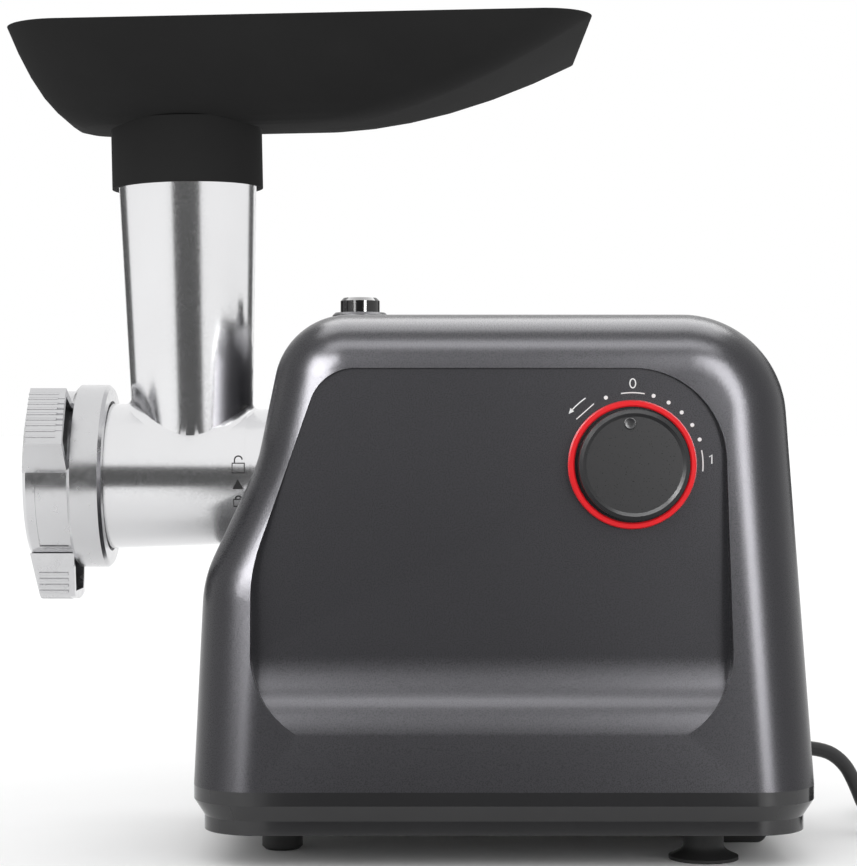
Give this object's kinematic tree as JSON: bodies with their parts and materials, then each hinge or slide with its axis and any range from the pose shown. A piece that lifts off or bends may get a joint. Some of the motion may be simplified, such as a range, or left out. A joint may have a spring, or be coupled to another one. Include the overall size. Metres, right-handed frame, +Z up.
{
  "type": "electric meat grinder",
  "caption": "Electric meat grinder: tapered motor housing with a speed dial, metal grinding head with a lugged ring nut, and a feed tray on a tube above it.",
  "frame": {"origin": "on the floor under the middle of the grinder's bounding box, without its cord", "axes": "+Z up, -X towards the ring nut and outlet, +X towards the cord, -Y towards the dial"},
  "size_m": [0.427, 0.2026, 0.3104],
  "materials": {
    "body_plastic": "satin",
    "knob_plastic": "satin",
    "red_trim": "gloss",
    "foot_rubber": "matte",
    "tray_plastic": "semi-gloss",
    "cast_aluminium": "polished",
    "steel": "brushed",
    "bronze": "satin",
    "gear_plastic": "satin",
    "cord_rubber": "matte"
  },
  "bodies": {
    "housing": {"housing_shell": "body_plastic", "base_pan": "body_plastic", "base_screws": "steel", "front_feet": "foot_rubber", "rear_suction_feet": "foot_rubber", "rear_pad": "foot_rubber", "knob_ring": "red_trim", "rotary_switch": "gear_plastic", "button_spring": "steel", "grinder_head": "cast_aluminium", "tail_bush": "bronze", "cutting_plate": "steel", "gear_plate": "steel", "gear_cover": "steel", "gear_screws": "steel", "idler_pin": "steel", "shaft_bush": "bronze", "head_socket": "gear_plastic", "motor_can": "steel", "cord_gland": "cord_rubber", "cord_lead": "cord_rubber", "cord_coil": "cord_rubber", "cord_tie": "cord_rubber", "plug_body": "cord_rubber", "plug_pins": "bronze"},
    "output": {"output_gear": "gear_plastic", "drive_shaft": "steel", "feed_screw": "cast_aluminium", "knife": "steel"},
    "idler": {"idler_gear": "gear_plastic"},
    "rotor": {"motor_rotor": "steel", "motor_pinion": "gear_plastic", "cooling_fan": "gear_plastic"},
    "knob": {"control_knob": "knob_plastic"},
    "button": {"release_button": "knob_plastic", "latch_plate": "steel"},
    "nut": {"ring_nut": "cast_aluminium"},
    "tray": {"food_tray": "tray_plastic"}
  },
  "joints": [
    {"name": "drive_spin", "type": "hinge", "parent": "housing", "child": "output", "pos_m": [0, 0, 0.141], "axis": [1, 0, 0], "continuous": true},
    {"name": "idler_spin", "type": "hinge", "parent": "housing", "child": "idler", "pos_m": [0, 0, 0.096], "axis": [1, 0, 0], "continuous": true},
    {"name": "rotor_spin", "type": "hinge", "parent": "housing", "child": "rotor", "pos_m": [0, 0, 0.069], "axis": [1, 0, 0], "continuous": true},
    {"name": "knob_turn", "type": "hinge", "parent": "housing", "child": "knob", "pos_m": [0.0802, -0.0608, 0.1462], "axis": [0, 1, 0], "range_deg": [-41.5, 87]},
    {"name": "button_press", "type": "slide", "parent": "housing", "child": "button", "axis": [0, 0, -1], "range_m": [0, 0.004], "stiffness_N_per_m": 800, "springref_m": -0.002, "deforming": ["button_spring"]},
    {"name": "nut_turn", "type": "hinge", "parent": "housing", "child": "nut", "pos_m": [-0.1322, 0, 0.141], "axis": [-1, 0, 0], "range_deg": [0, 120]},
    {"name": "tray_lift", "type": "slide", "parent": "housing", "child": "tray", "axis": [-0.0209, 0, 0.9998], "range_m": [0, 0.05]}
  ],
  "couplings": [
    {"joint": "idler_spin", "follows": "rotor_spin", "ratio": -0.2},
    {"joint": "drive_spin", "follows": "rotor_spin", "ratio": 0.05}
  ]
}
